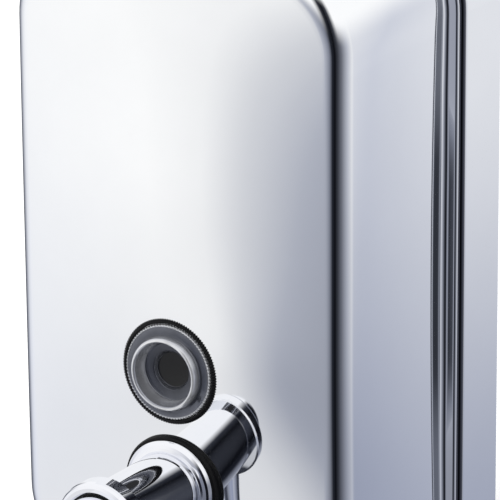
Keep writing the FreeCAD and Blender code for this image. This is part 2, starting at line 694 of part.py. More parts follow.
def suction_tube():
    """Soft tube from the elbow to the bottom of the tank, cut square."""
    y = PUMP_Y + SHANK_REACH + ELBOW_L / 2
    low = -BODY_H / 2 + FLANGE + TUBE_CLEAR
    tube = rod_z(TUBE_R, low, PUMP_Z - TUBE_TOP, 0, y)
    return tube.cut(rod_z(TUBE_BORE, low - 1, PUMP_Z, 0, y))


PARTS = {
    "wall_bracket": wall_bracket,
    "hanger_rails": hanger_rails,
    "back_plate": back_plate,
    "rear_housing": rear_housing,
    "front_cover": front_cover,
    "filler_collar": filler_collar,
    "lock_catch": lock_catch,
    "hinge_leaf": hinge_leaf,
    "hinge_rivets": hinge_rivets,
    "hinge_pin": hinge_pin,
    "lid": lid,
    "lid_gasket": lid_gasket,
    "lock_body": lock_body,
    "lock_nut": lock_nut,
    "lock_plug": lock_plug,
    "lock_cam": lock_cam,
    "cam_screw": cam_screw,
    "sight_lens": sight_lens,
    "sight_gasket": sight_gasket,
    "sight_washer": lambda: inner_washer(SIGHT_Y, SIGHT_Z),
    "sight_nut": lambda: shank_nut(SIGHT_Y, SIGHT_Z),
    "pump_collar": pump_collar,
    "pump_gasket": pump_gasket,
    "pump_barrel": pump_barrel,
    "pump_washer": lambda: inner_washer(PUMP_Y, PUMP_Z),
    "pump_nut": lambda: shank_nut(PUMP_Y, PUMP_Z),
    "pump_head": pump_head,
    "spout": spout,
    "button_seal": button_seal,
    "rod_gland": rod_gland,
    "push_button": push_button,
    "piston_rod": piston_rod,
    "piston": piston,
    "piston_seal": piston_seal,
    "return_spring": return_spring,
    "inlet_seat": inlet_seat,
    "inlet_valve": inlet_valve,
    "inlet_elbow": inlet_elbow,
    "suction_tube": suction_tube,
}

os.makedirs("parts", exist_ok=True)
for name, make in PARTS.items():
    shape = make()
    sizes = shape.BoundBox
    solids = len(shape.Solids)
    print(f"{name:16s} solids {solids}  valid {shape.isValid()}  volume {shape.Volume:10.1f}  "
          f"x {sizes.XMin:7.2f} {sizes.XMax:7.2f}  y {sizes.YMin:7.2f} {sizes.YMax:7.2f}  "
          f"z {sizes.ZMin:7.2f} {sizes.ZMax:7.2f}")
    shape.exportStep(f"parts/{name}.step")
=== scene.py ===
"""Wall mounted soap dispenser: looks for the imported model, with a soft white studio round it.

All lengths are in metres, in the model's own frame: +Z is up, the front faces -Y, and the wall is y = 0.
"""

import json
import math

import bpy
from mathutils import Matrix, Vector
from mathutils.kdtree import KDTree

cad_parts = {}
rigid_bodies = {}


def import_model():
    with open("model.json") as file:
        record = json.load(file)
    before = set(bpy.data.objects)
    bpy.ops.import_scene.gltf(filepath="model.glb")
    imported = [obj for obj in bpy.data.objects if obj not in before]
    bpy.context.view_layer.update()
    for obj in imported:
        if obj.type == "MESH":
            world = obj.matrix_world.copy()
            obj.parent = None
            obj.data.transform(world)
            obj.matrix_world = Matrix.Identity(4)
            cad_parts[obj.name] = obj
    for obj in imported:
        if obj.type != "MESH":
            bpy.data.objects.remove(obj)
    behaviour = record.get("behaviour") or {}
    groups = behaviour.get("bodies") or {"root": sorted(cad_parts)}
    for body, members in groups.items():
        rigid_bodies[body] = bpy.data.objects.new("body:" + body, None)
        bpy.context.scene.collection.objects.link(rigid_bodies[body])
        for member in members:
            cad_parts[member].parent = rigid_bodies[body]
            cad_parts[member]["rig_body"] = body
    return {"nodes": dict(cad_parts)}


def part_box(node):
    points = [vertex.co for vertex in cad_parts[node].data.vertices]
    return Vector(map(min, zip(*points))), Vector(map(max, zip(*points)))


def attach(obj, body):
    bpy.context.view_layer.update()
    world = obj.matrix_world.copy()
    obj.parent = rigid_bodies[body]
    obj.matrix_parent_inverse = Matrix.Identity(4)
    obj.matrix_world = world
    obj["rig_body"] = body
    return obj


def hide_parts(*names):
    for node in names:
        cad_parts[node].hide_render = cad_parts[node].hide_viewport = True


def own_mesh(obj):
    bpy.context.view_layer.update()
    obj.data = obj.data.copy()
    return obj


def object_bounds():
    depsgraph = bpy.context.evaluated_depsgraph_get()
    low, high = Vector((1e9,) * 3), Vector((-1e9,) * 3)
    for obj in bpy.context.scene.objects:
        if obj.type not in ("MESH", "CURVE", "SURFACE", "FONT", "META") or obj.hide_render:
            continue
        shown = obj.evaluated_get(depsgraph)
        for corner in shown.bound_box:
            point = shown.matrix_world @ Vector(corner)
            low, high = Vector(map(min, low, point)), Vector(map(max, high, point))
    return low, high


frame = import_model()
cad_low, cad_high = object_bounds()
nodes = frame["nodes"]
scene = bpy.context.scene
scene.view_settings.view_transform = "Standard"
scene.cycles.max_bounces = 24
scene.cycles.glossy_bounces = 14
scene.cycles.transmission_bounces = 14

MM = 0.001
EASE_STEPS = 5           # points to an eased corner, less one
EASE_SHARE = 0.48        # most of a profile's straight that one eased corner may take
AXIS_RADIUS = 1e-6       # a profile point nearer than this is on the axis
SHARP = math.radians(50)


# ---------------------------------------------------------------- node helpers
def linear(rgb):
    """Screen values from 0 to 255 as a linear colour."""
    out = []
    for value in rgb:
        v = value / 255
        out.append(v / 12.92 if v <= 0.04045 else ((v + 0.055) / 1.055) ** 2.4)
    return (*out, 1.0)


def cool_grey(level, blue):
    """A grey of that level with so much more blue, and a little less red."""
    return (level - 0.3 * blue, level, level + blue)


class Tree:
    """Short hand for building a node tree."""

    def __init__(self, tree):
        self.tree = tree
        self.tree.nodes.clear()

    def add(self, kind, **inputs):
        node = self.tree.nodes.new(kind)
        for name, value in inputs.items():
            self.put(node, name.replace("_", " "), value)
        return node

    def put(self, node, name, value):
        socket = node.inputs[name]
        if isinstance(value, bpy.types.NodeSocket):
            self.tree.links.new(value, socket)
        else:
            socket.default_value = value

    def math(self, operation, a, b=0.0, clamp=False):
        node = self.tree.nodes.new("ShaderNodeMath")
        node.operation = operation
        node.use_clamp = clamp
        for i, value in enumerate((a, b)):
            if isinstance(value, bpy.types.NodeSocket):
                self.tree.links.new(value, node.inputs[i])
            else:
                node.inputs[i].default_value = value
        return node.outputs[0]

    def mix(self, factor, a, b):
        node = self.tree.nodes.new("ShaderNodeMix")
        node.data_type = "RGBA"
        for i, value in ((0, factor), (6, a), (7, b)):
            if isinstance(value, bpy.types.NodeSocket):
                self.tree.links.new(value, node.inputs[i])
            else:
                node.inputs[i].default_value = value
        return node.outputs[2]

    def ramp(self, factor, stops):
        """A colour ramp from (position, screen colour) stops."""
        node = self.tree.nodes.new("ShaderNodeValToRGB")
        band = node.color_ramp
        band.interpolation = "LINEAR"
        while len(band.elements) > 1:
            band.elements.remove(band.elements[-1])
        band.elements[0].position = stops[0][0]
        band.elements[0].color = linear(stops[0][1])
        for position, colour in stops[1:]:
            band.elements.new(position).color = linear(colour)
        self.tree.links.new(factor, node.inputs[0])
        return node.outputs[0]

    def span(self, value, low, high, to_low=0.0, to_high=1.0):
        """Map value from one range to another, held at the ends, with a smooth course."""
        node = self.tree.nodes.new("ShaderNodeMapRange")
        node.interpolation_type = "SMOOTHSTEP"
        self.tree.links.new(value, node.inputs[0])
        for i, number in enumerate((low, high, to_low, to_high)):
            node.inputs[1 + i].default_value = number
        return node.outputs[0]


def material(name):
    """A new material with a Principled shader, and the tree to build on."""
    made = bpy.data.materials.new(name)
    made.use_nodes = True
    tree = Tree(made.node_tree)
    shader = tree.add("ShaderNodeBsdfPrincipled")
    out = tree.add("ShaderNodeOutputMaterial")
    tree.tree.links.new(shader.outputs[0], out.inputs[0])
    return made, tree, shader


def noise(tree, scale, detail=3.0, rough=0.5, stretch=None):
    """Noise in the model's own coordinates, in features per metre."""
    where = tree.add("ShaderNodeTexCoord").outputs["Object"]
    if stretch:
        where = tree.add("ShaderNodeMapping", Vector=where, Scale=stretch).outputs[0]
    made = tree.add("ShaderNodeTexNoise", Vector=where, Scale=scale, Detail=detail, Roughness=rough)
    return made.outputs["Fac"]


def bump(tree, shader, height, distance, strength=1.0):
    made = tree.add("ShaderNodeBump", Height=height, Distance=distance, Strength=strength)
    tree.put(shader, "Normal", made.outputs[0])


# ---------------------------------------------------------------- materials
def polished(name, tone, rough, wander, seam=None):
    """Mirror polished metal: slight tone change and faint polishing haze, with a band of painted shade along
    a seam at that y.
    """
    made, tree, shader = material(name)
    haze = noise(tree, 60, 4, 0.6)
    fine = noise(tree, 900, 2, 0.5, (1, 1, 0.15))
    colour = tree.mix(haze, linear(tone), linear([v - 5 for v in tone]))
    if seam is not None:
        where = tree.add("ShaderNodeTexCoord").outputs["Object"]
        depth = tree.add("ShaderNodeSeparateXYZ", Vector=where).outputs[1]
        off = tree.math("ABSOLUTE", tree.math("SUBTRACT", depth, seam))
        # painted shade: the metal turns darker grey in a band at the seam, standing for the shade in the gap
        # between cover and housing
        seam_shade = tree.span(off, 0.35 * MM, 0.75 * MM, 1.0, 0.0)
        colour = tree.mix(seam_shade, colour, linear((112, 113, 120)))
    tree.put(shader, "Base Color", colour)
    tree.put(shader, "Metallic", 1.0)
    both = tree.math("ADD", tree.math("MULTIPLY", haze, wander), tree.math("MULTIPLY", fine, wander * 0.5))
    tree.put(shader, "Roughness", tree.math("ADD", both, rough))
    return made


def brushed(name, tone, rough, grain):
    """Plain sheet metal with a fine drawn grain."""
    made, tree, shader = material(name)
    lines = noise(tree, 700, 4, 0.6, grain)
    cloud = noise(tree, 40, 3, 0.5)
    tree.put(shader, "Base Color", tree.mix(cloud, linear(tone), linear([v - 16 for v in tone])))
    tree.put(shader, "Metallic", 1.0)
    tree.put(shader, "Roughness", tree.math("ADD", tree.math("MULTIPLY", lines, 0.22), rough))
    bump(tree, shader, lines, 0.00002)
    return made


def moulded(name, tone, rough, grain=0.00002, gloss=0.5):
    """Moulded plastic or rubber with a fine skin texture."""
    made, tree, shader = material(name)
    skin = noise(tree, 1800, 3, 0.6)
    cloud = noise(tree, 70, 2, 0.5)
    tree.put(shader, "Base Color", tree.mix(cloud, linear(tone), linear([max(0, v - 8) for v in tone])))
    tree.put(shader, "Roughness", tree.math("ADD", tree.math("MULTIPLY", skin, 0.18), rough))
    tree.put(shader, "Specular IOR Level", gloss)
    bump(tree, shader, skin, grain)
    return made


def clear(name, tone, refraction):
    """Clear plastic with faint flow marks."""
    made, tree, shader = material(name)
    swirl = noise(tree, 150, 2, 0.5)
    tree.put(shader, "Base Color", linear(tone))
    tree.put(shader, "Transmission Weight", 1.0)
    tree.put(shader, "IOR", refraction)
    tree.put(shader, "Roughness", tree.math("ADD", tree.math("MULTIPLY", swirl, 0.03), 0.01))
    bump(tree, shader, swirl, 0.00003)
    return made


# The cover's flange meets the rear housing here. The housing's bent front edge carries a band of painted
# shade just behind it, standing for the shade in the gap.
SEAM_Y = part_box("front_cover")[1].y
SEAM_SHADE_STEP = 0.4 * MM

mirror_steel = polished("mirror_steel", (250, 251, 252), 0.012, 0.02, SEAM_Y + SEAM_SHADE_STEP)
chrome_plate = polished("chrome_plate", (244, 245, 249), 0.015, 0.02)
plain_steel = brushed("plain_steel", (196, 198, 202), 0.24, (1, 1, 0.04))
spring_steel = brushed("spring_steel", (168, 170, 174), 0.2, (0.1, 1, 1))
lock_brass = brushed("lock_brass", (214, 190, 132), 0.18, (1, 0.05, 1))
black_rubber = moulded("black_rubber", (11, 11, 13), 0.4, 0.00004, 0.2)
white_plastic = moulded("white_plastic", (226, 226, 222), 0.38)
soft_tube = moulded("soft_tube", (214, 218, 220), 0.25)
clear_plastic = clear("clear_plastic", (236, 240, 244), 1.49)

FINISHES = {
    "mirror_steel": mirror_steel,
    "chrome_plate": chrome_plate,
    "plain_steel": plain_steel,
    "spring_steel": spring_steel,
    "lock_brass": lock_brass,
    "black_rubber": black_rubber,
    "white_plastic": white_plastic,
    "soft_tube": soft_tube,
    "clear_plastic": clear_plastic,
}
for node in nodes.values():
    for place in node.material_slots:
        place.material = FINISHES[place.material.name]


# ---------------------------------------------------------------- pieces that stand for a CAD node
def middle(node):
    low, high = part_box(node)
    return (low + high) / 2


def facing_out(mesh):
    """Turn the faces of a closed mesh outward."""
    mesh.calc_loop_triangles()
    volume = 0.0
    for triangle in mesh.loop_triangles:
        a, b, c = (mesh.vertices[i].co for i in triangle.vertices)
        volume += a.dot(b.cross(c))
    if volume < 0:
        mesh.flip_normals()


def stand_in(name, mesh, node, finish):
    """An object of that mesh in place of a CAD node, on the node's own body."""
    mesh.materials.append(FINISHES[finish])
    made = bpy.data.objects.new(name, mesh)
    scene.collection.objects.link(made)
    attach(made, nodes[node]["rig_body"])
    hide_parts(node)
    return made


def softened(profile):
    """A closed profile of (radius, y, rounding) corners as points, each corner eased by its rounding."""
    out = []
    for i, corner in enumerate(profile):
        here = Vector(corner[:2])
        ease = corner[2] if len(corner) > 2 else 0.0
        if not ease:
            out.append(here)
            continue
        before = Vector(profile[i - 1][:2]) - here
        after = Vector(profile[(i + 1) % len(profile)][:2]) - here
        start = here + before.normalized() * min(ease, before.length * EASE_SHARE)
        end = here + after.normalized() * min(ease, after.length * EASE_SHARE)
        for k in range(EASE_STEPS + 1):
            t = k / EASE_STEPS
            out.append(start * (1 - t) ** 2 + here * 2 * t * (1 - t) + end * t * t)
    return out


def turned(profile, level, steps, teeth):
    """Mesh of a profile in millimetres, turned about the line along Y at height level.

    teeth is (count, depth, least radius, greatest y) of a fine knurl round the rim.
    """
    tooth_count, tooth_depth, tooth_radius, tooth_y = teeth
    verts = []
    rings = []
    for p in softened(profile):
        if p.x < AXIS_RADIUS:
            rings.append([len(verts)])
            verts.append((0.0, p.y * MM, level))
            continue
        ring = []
        for i in range(steps):
            angle = 2 * math.pi * i / steps
            r = p.x
            if r > tooth_radius and p.y < tooth_y:
                r -= tooth_depth * (0.5 + 0.5 * math.cos(tooth_count * angle)) ** 0.7
            ring.append(len(verts))
            verts.append((r * MM * math.cos(angle), p.y * MM, level + r * MM * math.sin(angle)))
        rings.append(ring)
    faces = []
    for k, a in enumerate(rings):
        b = rings[(k + 1) % len(rings)]
        for i in range(steps):
            j = (i + 1) % steps
            if len(a) == 1 and len(b) == 1:
                break
            if len(a) == 1:
                faces.append((a[0], b[j], b[i]))
            elif len(b) == 1:
                faces.append((a[i], a[j], b[0]))
            else:
                faces.append((a[i], a[j], b[j], b[i]))
    mesh = bpy.data.meshes.new("turned")
    mesh.from_pydata(verts, [], faces)
    mesh.validate()
    mesh.shade_smooth()
    mesh.set_sharp_from_angle(angle=SHARP)
    facing_out(mesh)
    return mesh


# ---------------------------------------------------------------- sight glass
def radial(tree, level):
    """Distance in metres from the line along Y at height level."""
    where = tree.add("ShaderNodeTexCoord").outputs["Object"]
    axis = tree.add("ShaderNodeSeparateXYZ", Vector=where).outputs
    across = tree.math("MULTIPLY", axis[0], axis[0])
    up = tree.math("SUBTRACT", axis[2], level)
    return tree.math("SQRT", tree.math("ADD", across, tree.math("MULTIPLY", up, up)))


def sight_painted_light_material(level):
    """Clear moulding over a dark tank, drawn opaque: painted highlights where the ring stands up and at the
    rim, painted shade of the dark tank in the middle and over the flange.
    """
    made, tree, shader = material("sight_moulding_painted_light")
    rim = 13.0
    # painted highlights and painted shade: the grey at each radius stands for light caught in the clear ring
    # or for the dark tank seen through the plastic, not the plastic's own colour
    rings = (
        (0.0, 2, 1), (4.3, 6, 2), (4.8, 129, 9), (5.0, 64, 8), (7.2, 86, 9), (7.5, 230, 6), (8.2, 173, 9),
        (8.5, 251, 1), (9.1, 217, 6), (9.5, 80, 9), (11.3, 106, 9), (11.7, 234, 4), (rim, 122, 8),
    )
    swirl = noise(tree, 260, 3, 0.6, (1, 0.3, 1))
    out = tree.math("DIVIDE", radial(tree, level), rim * MM)
    tone = tree.ramp(out, [(radius / rim, cool_grey(grey, blue)) for radius, grey, blue in rings])
    tree.put(shader, "Base Color", tree.mix(tree.math("MULTIPLY", swirl, 0.5), tone, linear((18, 19, 23))))
    tree.put(shader, "Metallic", 0.7)
    tree.put(shader, "Roughness", tree.math("ADD", tree.math("MULTIPLY", swirl, 0.12), 0.06))
    tree.put(shader, "Coat Weight", 0.3)
    tree.put(shader, "Coat Roughness", 0.03)
    bump(tree, shader, swirl, 0.00005)
    return made


def sight_glass():
    """Round window with a raised ring and a dished middle, in a knurled black gasket."""
    level = middle("sight_lens").z
    ring_height = 3.9
    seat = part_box("sight_lens")[0].y / MM + ring_height
    FINISHES["sight_moulding_painted_light"] = sight_painted_light_material(level)
    lens = (
        (0.0, 1.6), (4.5, 1.6, 0.4), (4.9, 0.4, 0.3), (7.3, 0.2, 0.5), (7.7, -1.4, 0.4), (8.0, -3.5, 0.4),
        (8.5, -ring_height, 0.4), (9.05, -3.5, 0.4), (9.5, -1.4, 0.6), (11.5, -1.1, 0.2), (11.85, -1.3, 0.25),
        (12.1, -0.8, 0.2), (12.1, -0.1), (8.0, -0.1), (8.0, 10.5), (5.4, 10.5), (5.4, 3.0), (0.0, 3.0),
    )
    lens = [(r, seat + y, *ease) for r, y, *ease in lens]
    shape = turned(lens, level, steps=540, teeth=(90, 0.3, 11.4, seat - 0.5))
    stand_in("sight_window", shape, "sight_lens", "sight_moulding_painted_light")
    gasket = (
        (12.15, 0.35), (12.15, -0.8, 0.2), (12.7, -1.0, 0.3), (13.4, -0.5, 0.3), (13.4, 0.35),
    )
    gasket = [(r, seat + y, *ease) for r, y, *ease in gasket]
    shape = turned(gasket, level, steps=720, teeth=(120, 0.3, 12.4, seat + 1))
    stand_in("sight_knurl", shape, "sight_gasket", "black_rubber")


sight_glass()


# ---------------------------------------------------------------- return spring
def coil_spring():
    """Spring with close end coils behind the piston, built at one fixed length, though the real one shortens
    as the button goes in.
    """
    low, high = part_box("return_spring")
    centre = middle("return_spring")
    wire = 0.45 * MM                         # radius
    turns = 7
    steps = 24                               # to each turn
    sides = 10
    radius = (high.x - low.x) / 2 - wire
    close = 2.2 * wire                       # rise of the first turn and of the last
    open_rise = (high.y - low.y - 2 * wire - 2 * close) / (turns - 2)
    verts = []
    for i in range(turns * steps + 1):
        turn = i / steps
        rise = close * (min(turn, 1) + max(turn - turns + 1, 0))
        rise += open_rise * min(max(turn - 1, 0), turns - 2)
        angle = 2 * math.pi * turn
        for k in range(sides):
            around = 2 * math.pi * k / sides
            r = radius + wire * math.cos(around)
            y = low.y + wire + rise + wire * math.sin(around)
            verts.append((centre.x + r * math.cos(angle), y, centre.z + r * math.sin(angle)))
    faces = [list(range(sides))[::-1], list(range(len(verts) - sides, len(verts)))]
    for i in range(turns * steps):
        for k in range(sides):
            a = i * sides + k
            b = i * sides + (k + 1) % sides
            faces.append((a, b, b + sides, a + sides))
    mesh = bpy.data.meshes.new("coil_spring")
    mesh.from_pydata(verts, [], faces)
    mesh.validate()
    mesh.shade_smooth()
    made = stand_in("coil_spring", mesh, "return_spring", "spring_steel")
    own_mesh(made)


coil_spring()


# ---------------------------------------------------------------- front cover
# In millimetres and radians. The panel is the crowned front, a bend leads to the leaning side, the foot is
# where the side meets the flange, and the rim is the flange's outer edge.
COVER_X, COVER_Y, COVER_Z = (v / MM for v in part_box("front_cover")[1])
SEAT_GAP = 0.03                          # between the rim and the rear housing
SKIN = 0.7                               # depth of the inner face, less than the rolled edge's radius
RIM_CORNER = 25.7
FLANGE = 3.2
FOOT_CORNER = 23.0
CORNER_TAPER = 0.19                      # how much tighter the corner gets per millimetre of lean
PANEL_Y = -60.0
CROWN = 3.8
CROWN_W, CROWN_H = 44.0, 80.0            # half width and half height where the crown has run out
PRESS = 0.05                             # slight pressing of the sheet beside the pump
PRESS_X, PRESS_Z = 21.0, -36.0
PRESS_W, PRESS_H = 17.0, 26.0
BEND = 6.0                               # radius between the panel and the side
LEAN_IN = 4.33                           # how far the side leans in from the foot to the bend
STEEP = math.radians(77.5)               # slope of the sheet where the bend ends
SIDE_EVEN, SIDE_EASE = 0.4, 2.4          # the side flares behind the bend and runs straighter at the foot
ROOT = 0.45                              # radius from side to flange, as a share of the flange
ROOT_LEAN = math.radians(88)             # slope of the sheet where that radius begins
EDGE = 0.95                              # radius of the rolled outer edge
ROLLED = math.radians(84)                # slope of the sheet at the rim
BELLY, BELLY_H = 0.6, 72.0               # how far the long sides stand in at mid height, and to what height
CONE = math.radians(1.5)                 # slope of the flange at mid height
CONE_MORE = math.radians(9)              # added to it towards the ends
CONE_START, CONE_RUN = 22.0, 26.0        # height where that begins, and over what height it comes
HALF_SIDE_STEPS, CORNER_STEPS, HALF_TOP_STEPS = 14, 20, 8
PANEL_STEPS, BEND_STEPS, SIDE_STEPS, ROOT_STEPS, EDGE_STEPS = 40, 18, 22, 14, 10
PANEL_EASE = 1.15                        # crowds the points towards the panel's edge
HOLE_RADIUS = 8.3                        # for the window's shank and for the pump
HOLE_SIDES = 96
HOLE_FRONT, HOLE_BACK = -77.0, -47.0     # well clear of the panel on both sides
MOUTH_WALL = 0.5                         # left in round the filler's mouth
MOUTH_DROP, MOUTH_RISE = 1.0, 59.0       # below and above the foot of the filler collar
OWN_NORMAL = 0.75                        # least cosine between a face and the shape's own normal there
FINE = 0.01                              # step for measuring a slope
AGREE_ROUNDS = 6


def rounded_outline(w, h, r):
    """Points round a rounded rectangle with those half sizes, with the outward direction at each."""
    quarter = []
    for i in range(HALF_SIDE_STEPS):
        quarter.append((w, (h - r) * i / HALF_SIDE_STEPS, 1.0, 0.0))
    for i in range(CORNER_STEPS):
        angle = math.pi / 2 * i / CORNER_STEPS
        c, s = math.cos(angle), math.sin(angle)
        quarter.append((w - r + r * c, h - r + r * s, c, s))
    for i in range(HALF_TOP_STEPS):
        quarter.append(((w - r) * (1 - i / HALF_TOP_STEPS), h, 0.0, 1.0))
    back = [*reversed(quarter[1:])]
    top = (0.0, h, 0.0, 1.0)
    left_up = [(-x, z, -nx, nz) for x, z, nx, nz in [top, *back]]
    left_down = [(-x, -z, -nx, -nz) for x, z, nx, nz in quarter]
    right_down = [(x, -z, nx, -nz) for x, z, nx, nz in [top, *back]]
    return quarter + left_up + left_down + right_down


def outline_at(inset):
    """Outline of the cover that far in from its foot."""
    leaning = min(inset, LEAN_IN)
    corner = FOOT_CORNER - CORNER_TAPER * leaning - (inset - leaning)
    return rounded_outline(COVER_X - FLANGE - inset, COVER_Z - FLANGE - inset, corner)


def crowned(x, z):
    """Depth of the panel, which falls back more steeply beside the pump, where the hole was pressed."""
    even = PANEL_Y - CROWN * (1 - (x / CROWN_W) ** 2) * (1 - abs(z / CROWN_H) ** 3)
    near = math.exp(-((x - PRESS_X) / PRESS_W) ** 2 - ((z - PRESS_Z) / PRESS_H) ** 2)
    return even - PRESS * (z - PRESS_Z) * near


def panel_edge():
    """Where the bend starts, stepped in until bend and crown agree: (x, z, outward x, outward z, slope)."""
    count = len(outline_at(0))
    inset = [LEAN_IN + BEND] * count
    slope = [0.0] * count
    for _ in range(AGREE_ROUNDS):
        for k in range(count):
            x, z, nx, nz = outline_at(inset[k])[k]
            rise = crowned(x + nx * FINE, z + nz * FINE) - crowned(x - nx * FINE, z - nz * FINE)
            slope[k] = math.atan(rise / (2 * FINE))
            inset[k] = LEAN_IN + BEND * (math.sin(STEEP) - math.sin(slope[k]))
    return [(*outline_at(inset[k])[k], slope[k]) for k in range(count)]


def along_bend(radius, first, last, steps):
    """(out, back) of each step along a bend from one slope to another, counted from its start."""
    for i in range(1, steps + 1):
        turn = first + (last - first) * i / steps
        out = radius * abs(math.sin(turn) - math.sin(first))
        back = radius * abs(math.cos(turn) - math.cos(first))
        yield out, back


def cover_column(start, foot, rim):
    """Points of the sheet from the middle of the panel out to the rim."""
    x, z, nx, nz, slope = start
    column = []
    for i in range(1, PANEL_STEPS + 1):
        share = 1 - (1 - i / PANEL_STEPS) ** PANEL_EASE
        column.append((x * share, crowned(x * share, z * share), z * share))
    panel_y = crowned(x, z)
    for out, back in along_bend(BEND, slope, STEEP, BEND_STEPS):
        column.append((x + nx * out, panel_y + back, z + nz * out))
    side_x, side_y, side_z = column[-1]

    # the flange is flat at mid height and coned towards its ends
    fx, fz, fnx, fnz = foot
    belly = BELLY * (1 - min(1.0, abs(fz) / BELLY_H) ** 2) * fnx * fnx
    foot_x, foot_z = fx - fnx * belly, fz - fnz * belly
    along = min(1.0, max(0.0, (abs(fz) - CONE_START) / CONE_RUN))
    cone = CONE + CONE_MORE * along * along * (3 - 2 * along)
    width = FLANGE + belly
    root = ROOT * width
    root_out = root * (math.sin(ROOT_LEAN) - math.sin(cone))
    edge_out = width - EDGE * (math.sin(ROLLED) - math.sin(cone))
    edge_y = COVER_Y - SEAT_GAP - EDGE * (math.cos(cone) - math.cos(ROLLED))
    root_y = edge_y - (edge_out - root_out) * math.tan(cone)
    foot_y = root_y - root * (math.cos(cone) - math.cos(ROOT_LEAN))

    for i in range(1, SIDE_STEPS + 1):
        share = i / SIDE_STEPS
        way = SIDE_EVEN * share + (1 - SIDE_EVEN) * (1 - (1 - share) ** SIDE_EASE)
        y = side_y + (foot_y - side_y) * share
        column.append((side_x + (foot_x - side_x) * way, y, side_z + (foot_z - side_z) * way))

    def across(out, y):
        share = out / width
        return (foot_x + (rim[0] - foot_x) * share, y, foot_z + (rim[1] - foot_z) * share)

    for out, back in along_bend(root, ROOT_LEAN, cone, ROOT_STEPS):
        column.append(across(out, foot_y + back))
    column.append(across(edge_out, edge_y))
    for out, back in along_bend(EDGE, cone, ROLLED, EDGE_STEPS):
        column.append(across(edge_out + out, edge_y + back))
    return column


def cover_shell():
    """The cover as a closed shell, with the points of its two faces and the normal at each."""
    rim = rounded_outline(COVER_X, COVER_Z, RIM_CORNER)
    columns = [cover_column(*row) for row in zip(panel_edge(), outline_at(0), rim)]
    around = len(columns)
    rows = len(columns[0])
    outer = [Vector((0.0, crowned(0, 0), 0.0)) * MM]
    for row in range(rows):
        outer += [Vector(column[row]) * MM for column in columns]

    def at(row, k):
        return 1 + row * around + k % around

    faces = [(0, at(0, k + 1), at(0, k)) for k in range(around)]
    for row in range(rows - 1):
        for k in range(around):
            faces.append((at(row, k), at(row, k + 1), at(row + 1, k + 1), at(row + 1, k)))
    sheet = bpy.data.meshes.new("cover_sheet")
    sheet.from_pydata(outer, [], faces)
    sheet.update()
    sign = -1 if sheet.vertices[0].normal.y > 0 else 1
    if sign < 0:
        faces = [tuple(reversed(face)) for face in faces]
    normals = [v.normal * sign for v in sheet.vertices]
    inner = [p - n * SKIN * MM for p, n in zip(outer, normals)]
    count = len(outer)
    shell = faces + [tuple(i + count for i in reversed(face)) for face in faces]
    for k in range(around):
        a, b = at(rows - 1, k), at(rows - 1, k + 1)
        shell.append((b, a, a + count, b + count))
    mesh = bpy.data.meshes.new("front_shell")
    mesh.from_pydata([*outer, *inner], [], shell)
    mesh.update()
    facing_out(mesh)
    return mesh, [*outer, *inner], [*normals, *(-n for n in normals)]


def prism(outline, sweep):
    """A closed solid to cut a hole with: an outline of points, and the same swept along."""
    count = len(outline)
    mesh = bpy.data.meshes.new("cutter")
    faces = [list(range(count)), list(range(count, 2 * count))[::-1]]
    faces += [(i, i + count, (i + 1) % count + count, (i + 1) % count) for i in range(count)]
    mesh.from_pydata([*outline, *(p + sweep for p in outline)], [], faces)
    facing_out(mesh)
    made = bpy.data.objects.new("cutter", mesh)
    scene.collection.objects.link(made)
    return made


def hole_cutters():
    """Round holes for the window and the pump, and the filler's mouth with a little of its wall left in."""
    cutters = []
    through = Vector((0, HOLE_BACK - HOLE_FRONT, 0)) * MM
    for node in ("sight_lens", "pump_barrel"):
        level = middle(node).z
        ring = []
        for i in range(HOLE_SIDES):
            angle = 2 * math.pi * i / HOLE_SIDES
            x, z = HOLE_RADIUS * math.cos(angle), HOLE_RADIUS * math.sin(angle)
            ring.append(Vector((x * MM, HOLE_FRONT * MM, level + z * MM)))
        cutters.append(prism(ring, through))
    wall = MOUTH_WALL * MM
    low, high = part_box("filler_collar")
    left, right, near, far = low.x + wall, high.x - wall, low.y + wall, high.y - wall
    bottom = low.z - MOUTH_DROP * MM
    mouth = [Vector((x, y, bottom)) for x, y in ((left, near), (right, near), (right, far), (left, far))]
    cutters.append(prism(mouth, Vector((0, 0, MOUTH_DROP + MOUTH_RISE)) * MM))
    return cutters


def cut(made, cutters):
    """Cut the holes for good, so that no modifier is left."""
    for cutter in cutters:
        hole = made.modifiers.new("hole", "BOOLEAN")
        hole.operation = "DIFFERENCE"
        hole.solver = "EXACT"
        hole.object = cutter
    bpy.context.view_layer.update()
    seen = made.evaluated_get(bpy.context.evaluated_depsgraph_get())
    final = bpy.data.meshes.new_from_object(seen)
    made.modifiers.clear()
    made.data = final
    for cutter in cutters:
        bpy.data.objects.remove(cutter)


def keep_normals(mesh, points, normals):
    """Put a shape's own normals back after holes are cut, so that no edge of a hole bends a reflection."""
    nearest = KDTree(len(points))
    for i, p in enumerate(points):
        nearest.insert(p, i)
    nearest.balance()
    mesh.shade_smooth()
    loops = []
    for polygon in mesh.polygons:
        flat = polygon.normal.copy()
        for v in polygon.vertices:
            own = normals[nearest.find(mesh.vertices[v].co)[1]]
            loops.append(own if own.dot(flat) > OWN_NORMAL else flat)
    mesh.normals_split_custom_set(loops)


def front_cover():
    """Smooth drawn cover: crowned panel, eased bends, leaning sides that belly a little, and a flange."""
    mesh, points, normals = cover_shell()
    made = bpy.data.objects.new("front_shell", mesh)
    scene.collection.objects.link(made)
    cut(made, hole_cutters())
    keep_normals(made.data, points, normals)
    made.data.materials.clear()
    made.data.materials.append(mirror_steel)
    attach(made, "dispenser")
    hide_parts("front_cover")


front_cover()


